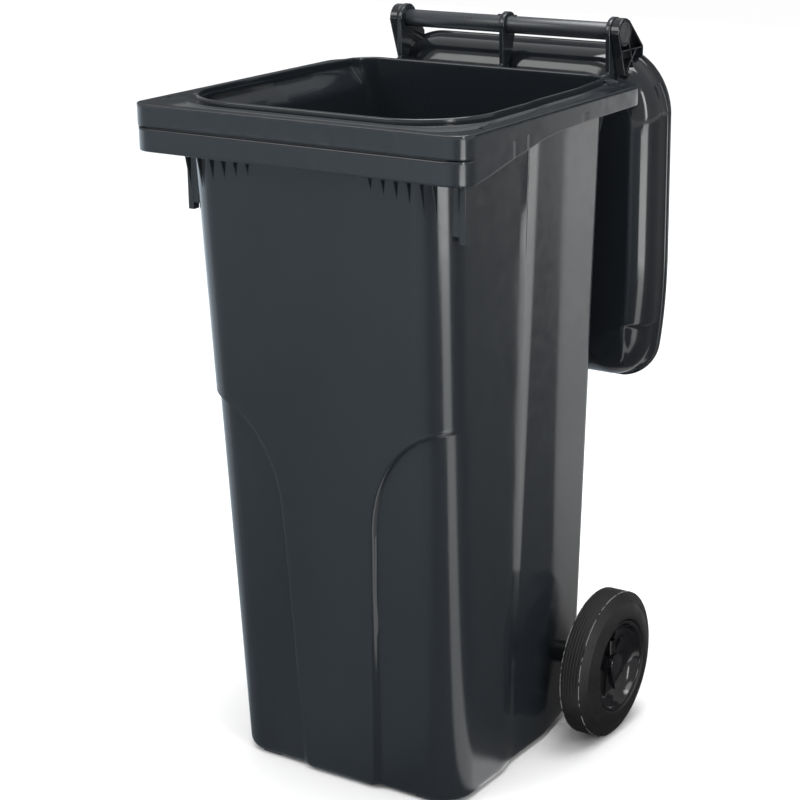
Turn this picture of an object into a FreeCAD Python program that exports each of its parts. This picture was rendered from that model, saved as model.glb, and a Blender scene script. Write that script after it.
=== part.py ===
import FreeCAD, Part
import math
import os

V = FreeCAD.Vector

# A 120-litre two-wheeled refuse bin with its lid swung right over and hanging behind the body.
# Millimetres.  X is across the bin, Y runs from the front to the back and Z is up from the ground.
# While a piece is being made, Y is measured from the front face of the comb rim.
# save() moves every piece so that the origin lies on the ground under the middle of the whole bin.

# ---- rim and comb ----
RIM_WIDTH = 475.0            # over the outside of the skirt
RIM_TOP = 877.5              # upper face of the flange
RIM_REAR = 446.0
FLANGE_THICK = 3.5
SKIRT_THICK = 3.5
COMB_BOTTOM = 819.5
GROOVE_LOW, GROOVE_HIGH = 848.0, 850.0
GROOVE_DEPTH = 2.4
UPPER_BAND_SET_BACK = 1.2
FRONT_CORNER_R, REAR_CORNER_R = 25.0, 22.0
SKIRT_EDGE = [(32.0, COMB_BOTTOM), (210.0, 851.0), (460.0, 853.0)]   # lower edge of the side skirt, (y, z)
FLANGE_HOLE_X, FLANGE_HOLE_Y, FLANGE_HOLE_D = 226.0, 60.0, 6.0

# ---- tub walls: plan at the base and under the rim ----
WALL = 4.0
BASE_Z = 3.0
LOW_Z, HIGH_Z = 15.0, 820.0
#        front y, front half width, crease y, rear half width, rear corner half width, rear y
LOW = dict(front=73.0, wide=173.0, crease=201.0, waist=166.0, tail=152.0, rear=431.0, r1=45.0, r2=22.0)
HIGH = dict(front=36.0, wide=192.5, crease=220.0, waist=186.5, tail=186.0, rear=446.0, r1=45.0, r2=22.0)
LIP = dict(front=28.0, wide=210.0, crease=200.0, waist=205.0, tail=191.0, rear=446.0, r1=76.0, r2=38.0)
STEP_LENGTH = 34.0           # length of the slanting step behind the crease
TAPER_START = 305.0          # where the rear part of the side starts to close in
LIP_Z = 872.0
LIP_TOP = 885.0
EDGE_INSETS = [(0.0, 9.0), (3.0, 4.0)]       # rounding of the bottom edge: (height above base, inset)

# ---- arched recesses on the front wall ----
ARCH_X_LOW, ARCH_X_HIGH = 52.0, 68.0
ARCH_SPRING_Z = 355.0
ARCH_END_X = 190.0
ARCH_RISE = 153.0
RECESS_DEPTH = 7.0

# ---- gussets, guide posts, feet and transponder nest ----
GUSSETS, GUSSET_FIRST_X, GUSSET_SPACING, GUSSET_HALF = 6, 89.5, 18.0, 1.1
GUSSET_SHORT, GUSSET_GROWTH = 22.0, 3.5
POST_X, POST_Y, POST_BOTTOM = (195.0, 204.0), (62.0, 73.0), 739.0
FRONT_FOOT = (107.0, 137.0, 88.0, 96.0)      # x1, x2, y1, y2
REAR_FOOT = (146.0, 154.0, 262.0, 292.0)
NEST_X, NEST_Y, NEST_D, NEST_LENGTH = 62.0, 17.0, 25.0, 26.0
PLUG_D, PLUG_LENGTH = 21.0, 20.0

# ---- axle bay at the lower rear edge ----
AXLE_Y, AXLE_Z, AXLE_D = 388.0, 100.0, 20.0
AXLE_HALF = 231.0
AXLE_HOLE_D = 20.2
BAY_FRONT, BAY_TOP = 345.0, 146.0
BAY_HALF = 145.0
BAY_RIB_X, BAY_RIB_THICK = 50.0, 4.0
HEEL_R = 60.0

# ---- handle, brackets and lid hinge ----
HINGE_Y, HINGE_Z = 493.5, 931.0
BAR_D, BAR_BORE = 23.0, 16.0
BRACKET_IN, BRACKET_OUT = 158.0, 164.0
RING_D = 38.0
MID_RING_D = 34.0
PIN_D, PIN_HEAD_D, PIN_HEAD_THICK = 16.0, 28.0, 2.4
ARM_IN, ARM_OUT = 164.6, 177.0
ARM_BORE = 16.16
ARM_RING_D = 36.0
LID_OPEN_ANGLE = 90.0        # turn about +X that takes the closed lid down behind the bin

# ---- lid, in its closed place ----
LID_HALF, LID_FRONT, LID_REAR = 216.0, 22.0, 468.0
LID_RIM_Z, LID_TOP = 879.0, 930.0
LID_WALL = 3.0
LID_RIM_OUT = 4.0
LID_SHOULDER = 36.0
LID_FRONT_R, LID_REAR_R = 84.0, 90.0

# ---- wheels ----
WHEEL_R = 100.0
TYRE_IN, TYRE_OUT = 194.0, 244.0
TREAD_HALF = 14.0
SEAT_R = 62.0
RIM_IN_R = 55.5
HUB_IN, HUB_OUT, HUB_R = 194.5, 234.0, 14.0
HUB_BORE = 20.14
WEBS = 10
WEB_THICK = 2.2
LOCK_X = 227.0
GROOVE_W, GROOVE_R = 5.6, 7.8
PIN_TIP_D, PIN_BODY_D = 5.0, 7.6
SPRING_LOW, SPRING_TOP = 18.0, 32.0
SPRING_R, SPRING_WIRE, SPRING_TURNS = 2.9, 0.8, 6
SPACER_IN, SPACER_D = 162.5, 30.0

BIN_REAR = HINGE_Y + HINGE_Z - LID_RIM_Z      # rearmost plane, the rim of the hanging lid
Y_MIDDLE = BIN_REAR / 2


def save(name, shape):
    """Move a finished piece into the bin's frame, report it and write its STEP file."""
    moved = shape.copy()
    moved.translate(V(0, -Y_MIDDLE, 0))
    box = moved.BoundBox
    size = " x ".join(f"{edge:.1f}" for edge in (box.XLength, box.YLength, box.ZLength))
    print(f"{name:22s} solids {len(moved.Solids)}  valid {moved.isValid()}  {size}")
    moved.exportStep(f"parts/{name}.step")


def box(x1, x2, y1, y2, z1, z2):
    return Part.makeBox(x2 - x1, y2 - y1, z2 - z1, V(x1, y1, z1))


def rod(diameter, x1, x2, y=0.0, z=0.0):
    return Part.makeCylinder(diameter / 2, x2 - x1, V(x1, y, z), V(1, 0, 0))


def mirrored(shape):
    return shape.mirror(V(0, 0, 0), V(1, 0, 0))


def both(shape):
    return [shape, mirrored(shape)]


def rounded_wire(corners, z):
    """Closed wire at height z; each corner is (x, y, radius), and a radius of 0 stays sharp."""
    ends = []
    for i, (x, y, r) in enumerate(corners):
        here = V(x, y, z)
        back = V(*corners[i - 1][:2], z) - here
        ahead = V(*corners[(i + 1) % len(corners)][:2], z) - here
        back.normalize()
        ahead.normalize()
        half = back.getAngle(ahead) / 2
        if r == 0:
            ends.append((here, None, here))
            continue
        reach = r / math.tan(half)
        middle = back + ahead
        middle.normalize()
        centre = here + middle * (r / math.sin(half))
        ends.append((here + back * reach, centre - middle * r, here + ahead * reach))
    edges = []
    for i, (start, mid, end) in enumerate(ends):
        if mid is not None:
            edges.append(Part.Arc(start, mid, end).toShape())
        edges.append(Part.LineSegment(end, ends[(i + 1) % len(ends)][0]).toShape())
    return Part.Wire(edges)


def plan(half_width, y_front, y_rear, r_front, r_rear, z):
    """A plain rounded rectangle."""
    return rounded_wire([(-half_width, y_front, r_front), (half_width, y_front, r_front),
                         (half_width, y_rear, r_rear), (-half_width, y_rear, r_rear)], z)


def slab(wire, height):
    return Part.Face(wire).extrude(V(0, 0, height))


def side_plate(points, x1, x2):
    """A plate between x1 and x2 with its outline given as (y, z) points."""
    loop = Part.makePolygon([V(x1, y, z) for y, z in points + points[:1]])
    return Part.Face(loop).extrude(V(x2 - x1, 0, 0))


# ---------------------------------------------------------------- body moulding
def tub_wire(size, z, inset):
    """Plan of the tub wall: straight front, crease and step in each side, closing in to the rear."""
    front, rear = size["front"] + inset, size["rear"] - inset
    wide, waist, tail = size["wide"] - inset, size["waist"] - inset, size["tail"] - inset
    r1, r2 = size["r1"] - inset, size["r2"] - inset
    right = [(wide, front, r1), (wide, size["crease"], 0), (waist, size["crease"] + STEP_LENGTH, 0),
             (waist, TAPER_START, 0), (tail, rear, r2)]
    left = [(-x, y, r) for x, y, r in reversed(right)]
    return rounded_wire(right + left, z)


def tub_block(wall):
    """The tub as a solid, drawn in from its outside by the wall thickness."""
    floor = BASE_Z + wall
    wires = [tub_wire(LOW, floor + up, wall + inset) for up, inset in EDGE_INSETS]
    wires += [tub_wire(LOW, LOW_Z + wall, wall), tub_wire(HIGH, HIGH_Z, wall),
              tub_wire(LIP, LIP_Z, wall), tub_wire(LIP, LIP_TOP + wall / 4, wall)]
    return Part.makeLoft(wires, True, True)


def front_y(z):
    """Y of the front wall's outside at height z."""
    t = (z - LOW_Z) / (HIGH_Z - LOW_Z)
    return LOW["front"] + t * (HIGH["front"] - LOW["front"])


def arch_block(margin, depth):
    """The space under one arch of the front wall, down to a plane parallel to the wall."""
    top = ARCH_SPRING_Z + ARCH_RISE + margin
    across = ARCH_END_X - ARCH_X_HIGH + margin
    rise = ARCH_RISE + margin
    major = V(ARCH_END_X, 0, top) if rise > across else V(ARCH_END_X - across, 0, ARCH_SPRING_Z)
    minor = V(ARCH_END_X - across, 0, ARCH_SPRING_Z) if rise > across else V(ARCH_END_X, 0, top)
    ellipse = Part.Ellipse(major, minor, V(ARCH_END_X, 0, ARCH_SPRING_Z))
    first = ellipse.parameter(V(ARCH_END_X - across, 0, ARCH_SPRING_Z))
    last = ellipse.parameter(V(ARCH_END_X, 0, top))
    low, high = min(first, last), max(first, last)
    if high - low > math.pi:
        low, high = high, low + 2 * math.pi
    curve = Part.ArcOfEllipse(ellipse, low, high).toShape()
    corner = [V(ARCH_END_X, 0, top), V(RIM_WIDTH / 2, 0, top), V(RIM_WIDTH / 2, 0, -margin),
              V(ARCH_X_LOW - margin, 0, -margin), V(ARCH_X_HIGH - margin, 0, ARCH_SPRING_Z)]
    edges = [curve] + [Part.makeLine(a, b) for a, b in zip(corner, corner[1:])]
    face = Part.Face(Part.Wire(Part.__sortEdges__(edges)))
    block = face.extrude(V(0, front_y(0) + depth + 1, 0))
    behind = side_plate([(front_y(-20) + depth, -20), (front_y(600) + depth, 600), (200, 600), (200, -20)],
                        0, RIM_WIDTH)
    return block.cut(behind)


def body_shell():
    """Tub with recessed arches, a round heel and an open bay for the axle."""
    outside = tub_block(0)
    cavity = tub_block(WALL)
    for block in both(arch_block(0, RECESS_DEPTH)):
        outside = outside.cut(block)
    for block in both(arch_block(WALL, RECESS_DEPTH + WALL)):
        cavity = cavity.cut(block)
    cavity = cavity.cut(box(-RIM_WIDTH, RIM_WIDTH, BAY_FRONT, RIM_REAR + 20, -10, BAY_TOP))
    heel_y, heel_z = LOW["rear"] - HEEL_R, BASE_Z + HEEL_R
    heel = box(-RIM_WIDTH, RIM_WIDTH, heel_y, RIM_REAR + 20, -10, heel_z)
    heel = heel.cut(rod(2 * HEEL_R, -RIM_WIDTH, RIM_WIDTH, heel_y, heel_z))
    bay = box(-BAY_HALF, BAY_HALF, BAY_FRONT + WALL, LOW["rear"] - WALL, -10, BAY_TOP - WALL)
    for side in (-1, 1):
        middle = side * BAY_RIB_X
        bay = bay.cut(box(middle - BAY_RIB_THICK / 2, middle + BAY_RIB_THICK / 2,
                          BAY_FRONT, RIM_REAR, -20, BAY_TOP))
    return outside.cut(heel).cut(bay), cavity


def skirt_ring(set_back, z1, z2):
    outer = slab(plan(RIM_WIDTH / 2, set_back, RIM_REAR, FRONT_CORNER_R, REAR_CORNER_R, z1), z2 - z1)
    t = SKIRT_THICK
    inner = slab(plan(RIM_WIDTH / 2 - t, GROOVE_DEPTH + t, RIM_REAR - t, FRONT_CORNER_R - t,
                      REAR_CORNER_R - t, z1), z2 - z1)
    return outer.cut(inner)


def rim():
    """Flat flange with the two-step comb band in front and the skirt that rises along the sides."""
    flange = slab(plan(RIM_WIDTH / 2, UPPER_BAND_SET_BACK, RIM_REAR, FRONT_CORNER_R, REAR_CORNER_R,
                       RIM_TOP - FLANGE_THICK), FLANGE_THICK)
    rings = [skirt_ring(0.0, COMB_BOTTOM, GROOVE_LOW), skirt_ring(GROOVE_DEPTH, GROOVE_LOW, GROOVE_HIGH),
             skirt_ring(UPPER_BAND_SET_BACK, GROOVE_HIGH, RIM_TOP - FLANGE_THICK)]
    away = [(SKIRT_EDGE[0][0], COMB_BOTTOM - 10)] + SKIRT_EDGE + [(SKIRT_EDGE[-1][0], COMB_BOTTOM - 10)]
    below = side_plate(away, -RIM_WIDTH, RIM_WIDTH)
    skirt = rings[0].multiFuse(rings[1:]).cut(below)
    return flange.fuse(skirt)


def comb_gussets():
    """Thin webs between the comb band and the front wall, longer towards the corners."""
    webs = []
    for step in range(GUSSETS):
        x = GUSSET_FIRST_X + GUSSET_SPACING * step
        tip = COMB_BOTTOM - GUSSET_SHORT - GUSSET_GROWTH * step
        outline = [(SKIRT_THICK, RIM_TOP - 1), (SKIRT_THICK, COMB_BOTTOM + 2), (front_y(tip) + 1, tip),
                   (front_y(tip) + 3, RIM_TOP - 1)]
        webs += both(side_plate(outline, x - GUSSET_HALF, x + GUSSET_HALF))
    return webs


def corner_posts():
    """Guide posts that hang from the flange beside each front corner, each with a flared web."""
    post = box(*POST_X, *POST_Y, POST_BOTTOM, RIM_TOP - 1)
    back, web_x = POST_Y[1], sum(POST_X) / 2
    web = side_plate([(back - 1, 762), (back, 762), (back + 39, COMB_BOTTOM), (back + 39, RIM_TOP - 1),
                      (back - 1, RIM_TOP - 1)], web_x - GUSSET_HALF, web_x + GUSSET_HALF)
    return both(post) + both(web)


def bracket(x1, x2, ring, outer_lip=0.0):
    """Upright plate from the rear wall to the ring that holds the handle bar."""
    front, back = HINGE_Y - ring / 2, HINGE_Y + ring / 2
    outline = [(436, 800), (450, 800), (488, 872), (500, 896), (back, HINGE_Z - 4), (back, HINGE_Z),
               (front, HINGE_Z), (front + 1, RIM_TOP), (436, RIM_TOP)]
    return side_plate(outline, x1, x2).fuse(rod(ring, x1 - 1, x2 + outer_lip, HINGE_Y, HINGE_Z))


def feet():
    """Short skids under the base."""
    front = box(*FRONT_FOOT, 0.0, BASE_Z + 3)
    rear = box(*REAR_FOOT, 0.0, BASE_Z + 3)
    return both(front) + both(rear)


def transponder_nest():
    """Socket under the flange, inside the comb, for the transponder plug."""
    return Part.makeCylinder(NEST_D / 2, NEST_LENGTH, V(NEST_X, NEST_Y, RIM_TOP - 1 - NEST_LENGTH))


def bin_body():
    outside, cavity = body_shell()
    pieces = [rim(), transponder_nest()] + comb_gussets() + corner_posts() + feet()
    pieces += both(bracket(BRACKET_IN, BRACKET_OUT, RING_D)) + [bracket(-3.0, 3.0, MID_RING_D, 1.0)]
    body = outside.multiFuse(pieces)
    cuts = [cavity, rod(BAR_D, -BRACKET_OUT - 5, BRACKET_OUT + 5, HINGE_Y, HINGE_Z),
            rod(AXLE_HOLE_D, -RIM_WIDTH, RIM_WIDTH, AXLE_Y, AXLE_Z),
            Part.makeCylinder(PLUG_D / 2, PLUG_LENGTH + 1, V(NEST_X, NEST_Y, RIM_TOP - 2 - NEST_LENGTH))]
    cuts += both(Part.makeCylinder(FLANGE_HOLE_D / 2, 20, V(FLANGE_HOLE_X, FLANGE_HOLE_Y, RIM_TOP - 15)))
    for cut in cuts:
        body = body.cut(cut)
    return body.removeSplitter()


# ---------------------------------------------------------------- handle, lid and hinge pins
def handle_bar():
    """Tube through the three bracket rings, with a locating nub on each side of the middle one."""
    bar = rod(BAR_D, -BRACKET_OUT, BRACKET_OUT, HINGE_Y, HINGE_Z)
    top = HINGE_Z + BAR_D / 2
    for x in (-14.0, 9.0):
        bar = bar.fuse(box(x, x + 5, HINGE_Y - 2, HINGE_Y + 2, top - 2, top + 1.5))
    return bar.cut(rod(BAR_BORE, -BRACKET_OUT - 1, BRACKET_OUT + 1, HINGE_Y, HINGE_Z))


def hinge_pin():
    """Plain pin pushed through the lid arm into the end of the bar, with a flat round head."""
    head_in = ARM_OUT - 0.2 - PIN_HEAD_THICK
    shank = rod(PIN_D, BRACKET_OUT - 26, head_in, HINGE_Y, HINGE_Z)
    return shank.fuse(rod(PIN_HEAD_D, head_in, head_in + PIN_HEAD_THICK, HINGE_Y, HINGE_Z))


def lid_block(inset, rim_z):
    """Lid form drawn in by inset: drafted wall, rounded shoulder as short rings, flat top."""
    half, front, rear = LID_HALF - inset, LID_FRONT + inset, LID_REAR - inset
    top = LID_TOP - inset
    wires = [plan(half, front, rear, LID_FRONT_R - inset, LID_REAR_R - inset, rim_z)]
    radius = LID_SHOULDER - inset
    for step in range(5):
        turn = math.radians(22.5 * step)
        pull = radius * (1 - math.cos(turn)) + 2.0
        z = top - radius + radius * math.sin(turn)
        wires.append(plan(half - pull, front + pull, rear - pull, LID_FRONT_R - inset, LID_REAR_R - inset, z))
    return Part.makeLoft(wires, True, True)


def lid_arm():
    """Hinge arm: boss round the pin, thin web, edge wall and two ribs, open to the outside."""
    outline = [(HINGE_Y, HINGE_Z + ARM_RING_D / 2), (438, 930), (438, 884), (462, LID_RIM_Z + 1.5),
               (470, LID_RIM_Z + 1.5), (HINGE_Y + 14, HINGE_Z - 11.3)]
    inner = [(HINGE_Y - 18, HINGE_Z + 11), (444, 925), (444, 888), (464, LID_RIM_Z + 5),
             (469, LID_RIM_Z + 5), (HINGE_Y + 6, HINGE_Z - 14)]
    boss = rod(ARM_RING_D, ARM_IN, ARM_OUT, HINGE_Y, HINGE_Z)
    pocket = side_plate(inner, ARM_IN + 3, ARM_OUT + 1).cut(boss)
    pocket = pocket.cut(side_plate([(440, 903), (500, 925), (500, 928), (440, 906)], ARM_IN, ARM_OUT + 2))
    pocket = pocket.cut(box(ARM_IN, ARM_OUT + 2, 468.5, 471, 860, 960))
    arm = side_plate(outline, ARM_IN, ARM_OUT).cut(pocket).fuse(boss)
    return arm.cut(rod(PIN_HEAD_D + 0.8, ARM_OUT - PIN_HEAD_THICK - 0.6, ARM_OUT + 1, HINGE_Y, HINGE_Z))


def lid():
    """Domed cover with a turned-out rim and its two hinge arms, hanging open."""
    shell = lid_block(0.0, LID_RIM_Z)
    edge = slab(plan(LID_HALF + LID_RIM_OUT, LID_FRONT - LID_RIM_OUT, LID_REAR + LID_RIM_OUT,
                     LID_FRONT_R + LID_RIM_OUT, LID_REAR_R + LID_RIM_OUT, LID_RIM_Z), LID_WALL)
    whole = shell.multiFuse([edge] + both(lid_arm()))
    whole = whole.cut(lid_block(LID_WALL, LID_RIM_Z - 1))
    whole = whole.cut(rod(ARM_BORE, -RIM_WIDTH, RIM_WIDTH, HINGE_Y, HINGE_Z))
    whole.rotate(V(0, HINGE_Y, HINGE_Z), V(1, 0, 0), LID_OPEN_ANGLE)
    return whole


# ---------------------------------------------------------------- axle and right-hand wheel
def spun(points):
    """Turn an outline of (x, radius) points about the axle line."""
    loop = Part.makePolygon([V(x, AXLE_Y, AXLE_Z + r) for x, r in points + points[:1]])
    return Part.Face(loop).revolve(V(0, AXLE_Y, AXLE_Z), V(1, 0, 0), 360)


def axle():
    """Round steel bar with a lock groove near each end and small end chamfers."""
    c, g = 1.5, GROOVE_W / 2
    r = AXLE_D / 2
    end = AXLE_HALF
    right = [(LOCK_X - g, r), (LOCK_X - g, GROOVE_R), (LOCK_X + g, GROOVE_R), (LOCK_X + g, r),
             (end - c, r), (end, r - c)]
    left = [(-x, radius) for x, radius in reversed(right)]
    return spun([(-end, 0)] + left + right + [(end, 0)])


def wheel_rim():
    """Moulded wheel: tyre seat, centre disc, radial webs, hub tube and the lock-pin chimney."""
    middle = (TYRE_IN + TYRE_OUT) / 2
    seat = spun([(TYRE_IN + 3, RIM_IN_R), (TYRE_IN + 3, SEAT_R), (TYRE_OUT - 2, SEAT_R),
                 (TYRE_OUT - 2, RIM_IN_R + 3), (middle + 2, RIM_IN_R - 3), (middle - 2, RIM_IN_R - 3)])
    disc = spun([(middle - 2, HUB_R - 1), (middle - 2, RIM_IN_R), (middle + 2, RIM_IN_R),
                 (middle + 2, HUB_R - 1)])
    hub = rod(2 * HUB_R, HUB_IN, HUB_OUT, AXLE_Y, AXLE_Z)
    webs = []
    for number in range(WEBS):
        y1, y2 = AXLE_Y - WEB_THICK / 2, AXLE_Y + WEB_THICK / 2
        web = box(middle, HUB_OUT, y1, y2, AXLE_Z + HUB_R - 2, AXLE_Z + RIM_IN_R)
        web.rotate(V(0, AXLE_Y, AXLE_Z), V(1, 0, 0), 360.0 / WEBS * (number + 0.5))
        webs.append(web)
    up = V(0, 0, 1)
    chimney = Part.makeCylinder(6.0, SPRING_TOP + 2.5, V(LOCK_X, AXLE_Y, AXLE_Z), up)
    rim_solid = seat.multiFuse([disc, hub, chimney] + webs)
    rim_solid = rim_solid.cut(rod(HUB_BORE, HUB_IN - 1, HUB_OUT + 1, AXLE_Y, AXLE_Z))
    tip_hole = Part.makeCylinder(PIN_TIP_D / 2 + 0.08, 14.2, V(LOCK_X, AXLE_Y, AXLE_Z), up)
    spring_hole = Part.makeCylinder(PIN_BODY_D / 2 + 0.2, SPRING_TOP - 14.0,
                                    V(LOCK_X, AXLE_Y, AXLE_Z + 14.0), up)
    return rim_solid.cut(tip_hole).cut(spring_hole)


def tyre():
    """Solid rubber ring: nearly flat tread and sidewalls that swell out towards the seat."""
    middle = (TYRE_IN + TYRE_OUT) / 2
    half = (TYRE_OUT - TYRE_IN) / 2
    right = [(middle + half - 1.0, SEAT_R), (middle + half, SEAT_R + 5), (middle + half - 2.5, SEAT_R + 17),
             (middle + half - 7.0, SEAT_R + 30), (middle + TREAD_HALF, WHEEL_R - 1.2),
             (middle + TREAD_HALF - 3, WHEEL_R - 0.3), (middle + 5, WHEEL_R)]
    left = [(2 * middle - x, r) for x, r in reversed(right)]
    return spun(right + left)


def lock_pin():
    """Stepped pin whose tip drops into the axle groove."""
    up = V(0, 0, 1)
    tip = Part.makeCylinder(PIN_TIP_D / 2, 6.0, V(LOCK_X, AXLE_Y, AXLE_Z + GROOVE_R + 0.5), up)
    head_z = AXLE_Z + 14.0 + 0.05
    head = Part.makeCylinder(PIN_BODY_D / 2, SPRING_LOW - 14.05, V(LOCK_X, AXLE_Y, head_z), up)
    return tip.fuse(head)


def lock_spring():
    """Compression spring from the pin's head to the top of its chimney."""
    low = AXLE_Z + SPRING_LOW + SPRING_WIRE / 2 + 0.05
    height = SPRING_TOP - SPRING_LOW - SPRING_WIRE - 0.1
    helix = Part.makeHelix(height / SPRING_TURNS, height, SPRING_R)
    circle = Part.Circle(V(SPRING_R, 0, 0), V(0, 1, 0), SPRING_WIRE / 2).toShape()
    coil = Part.Wire(helix.Edges).makePipeShell([Part.Wire([circle])], True, True)
    coil.translate(V(LOCK_X, AXLE_Y, low))
    return coil


def hub_cap():
    """Round cap on the outer end of the hub, with a short plug pushed into the bore."""
    plug = rod(HUB_BORE, AXLE_HALF + 0.4, HUB_OUT + 1, AXLE_Y, AXLE_Z)
    return plug.fuse(rod(2 * HUB_R + 2.4, HUB_OUT, HUB_OUT + 3, AXLE_Y, AXLE_Z))


def wheel_spacer():
    """Plastic sleeve on the axle between the body and the wheel."""
    sleeve = rod(SPACER_D, SPACER_IN, HUB_IN - 0.4, AXLE_Y, AXLE_Z)
    return sleeve.cut(rod(AXLE_HOLE_D, SPACER_IN - 1, HUB_IN + 1, AXLE_Y, AXLE_Z))


def transponder_plug():
    """Round sealed plug in the nest under the comb."""
    return Part.makeCylinder(PLUG_D / 2, PLUG_LENGTH, V(NEST_X, NEST_Y, RIM_TOP - 1 - NEST_LENGTH))


def main():
    os.makedirs("parts", exist_ok=True)
    save("bin_body", bin_body())
    save("handle_bar", handle_bar())
    save("lid", lid())
    save("axle", axle())
    save("transponder_plug", transponder_plug())
    paired = {"hinge_pin": hinge_pin(), "wheel_rim": wheel_rim(), "tyre": tyre(), "lock_pin": lock_pin(),
              "lock_spring": lock_spring(), "hub_cap": hub_cap(), "wheel_spacer": wheel_spacer()}
    for name, shape in paired.items():
        save(name + "_right", shape)
        save(name + "_left", mirrored(shape))


main()
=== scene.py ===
import math
import bpy
import numpy as np
from mathutils import Matrix, Vector


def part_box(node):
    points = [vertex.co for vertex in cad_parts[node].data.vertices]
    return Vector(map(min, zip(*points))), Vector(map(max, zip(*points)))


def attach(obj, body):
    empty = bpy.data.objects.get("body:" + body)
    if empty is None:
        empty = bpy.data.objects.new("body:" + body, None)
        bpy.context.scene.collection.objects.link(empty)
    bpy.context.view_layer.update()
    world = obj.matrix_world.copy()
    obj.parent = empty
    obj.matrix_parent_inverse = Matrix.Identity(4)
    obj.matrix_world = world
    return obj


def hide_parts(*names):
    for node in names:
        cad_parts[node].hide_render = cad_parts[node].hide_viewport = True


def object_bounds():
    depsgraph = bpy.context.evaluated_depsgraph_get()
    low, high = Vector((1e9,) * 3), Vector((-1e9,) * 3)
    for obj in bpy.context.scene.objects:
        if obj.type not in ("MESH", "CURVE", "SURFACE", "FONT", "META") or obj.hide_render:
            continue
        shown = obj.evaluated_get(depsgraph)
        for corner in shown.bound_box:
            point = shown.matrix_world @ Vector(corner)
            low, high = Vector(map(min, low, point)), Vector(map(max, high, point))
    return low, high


# A two-wheeled refuse bin in anthracite HDPE, its lid swung over and hanging behind the body.
# Shapes are worked out in millimetres: x across the bin, y back from the front face of the comb rim,
# z up from the ground.  in_frame() takes them to the model's frame in metres.

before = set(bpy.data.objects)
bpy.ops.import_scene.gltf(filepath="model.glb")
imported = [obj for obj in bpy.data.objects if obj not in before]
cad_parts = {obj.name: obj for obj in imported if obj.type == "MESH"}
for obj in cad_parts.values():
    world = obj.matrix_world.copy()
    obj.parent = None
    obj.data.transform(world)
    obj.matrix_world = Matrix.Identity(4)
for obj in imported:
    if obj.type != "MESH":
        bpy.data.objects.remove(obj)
CAD_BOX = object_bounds()
FRONT = CAD_BOX[0].y                       # the comb's front face in the model's frame
BAR_LOW, BAR_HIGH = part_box("handle_bar")
AXLE_LOW, AXLE_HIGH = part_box("axle")
TYRE_LOW, TYRE_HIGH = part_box("tyre_right")
HINGE_Y = 493.5
HINGE_Z = 931.0
AXLE_Y = ((AXLE_LOW.y + AXLE_HIGH.y) / 2 - FRONT) * 1000
AXLE_Z = (AXLE_LOW.z + AXLE_HIGH.z) / 2 * 1000
WHEEL_R = (TYRE_HIGH.z - TYRE_LOW.z) / 2 * 1000

# rim and comb
HALF, RIM_TOP, RIM_REAR, COMB_BOTTOM = 237.5, 877.5, 446.0, 819.5
# tub plan at the base, under the rim and at the lip:
# front y, half width, crease y, half width behind the step, half width at the rear corner, rear y, radii
TUB_Z = np.array([15.0, 848.0, 872.0])
TUB = {"front": [73, 34.7, 28], "wide": [173, 193.2, 206.5], "crease": [201, 221, 199],
       "waist": [166, 188.8, 204], "tail": [152, 184.6, 191], "rear": [431, 446, 446],
       "r1": [45, 45, 95], "r2": [22, 22, 38]}
TAPER, STEP, WALL = 322.0, 32.0, 4.0
HEEL = 60.0


# ------------------------------------------------------------------ meshes
def in_frame(points):
    """Millimetres from the comb's front face to metres in the model's frame."""
    out = np.array(points, float) / 1000
    out[..., 1] += FRONT
    return out


def grid_faces(rows, cols, wrap_rows=False, wrap_cols=True, first=0):
    """Quads of a grid of rows by cols points, each (i, j), (i, j+1), (i+1, j+1), (i+1, j)."""
    i = np.arange(rows if wrap_rows else rows - 1)[:, None]
    j = np.arange(cols if wrap_cols else cols - 1)[None, :]
    at = lambda a, b: (a % rows) * cols + (b % cols) + first
    quads = np.stack([at(i, j), at(i, j + 1), at(i + 1, j + 1), at(i + 1, j)], -1)
    return quads.reshape(-1, 4)


def volume(points, faces):
    """Signed volume of a closed surface: the sum of the tetrahedra from the origin to each fan triangle."""
    total = 0.0
    for face in faces:
        a = points[face[0]]
        b, c = points[face[1:-1]], points[face[2:]]
        total += float(np.einsum("ij,ij->", np.broadcast_to(a, b.shape), np.cross(b, c)))
    return total / 6


def skin(points, closed_rows=False):
    """Closed surface from rings of points [ring, point, xyz]: quads between rings, flat caps on the ends."""
    rows, cols = points.shape[:2]
    flat = points.reshape(-1, 3)
    quads = grid_faces(rows, cols, wrap_rows=closed_rows)
    faces = [quads]
    a, b, c, d = (flat[quads[:, k]] for k in range(4))
    total = np.einsum("ij,ij->", a, np.cross(b, c)) + np.einsum("ij,ij->", a, np.cross(c, d))
    caps = []
    if not closed_rows:
        caps = [np.arange(cols)[::-1], np.arange(cols) + (rows - 1) * cols]
        total += 6 * volume(flat, caps)
    if total < 0:
        faces = [quads[:, ::-1]]
        caps = [cap[::-1] for cap in caps]
    return flat, [list(map(int, q)) for q in faces[0]] + [list(map(int, c)) for c in caps]


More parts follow.
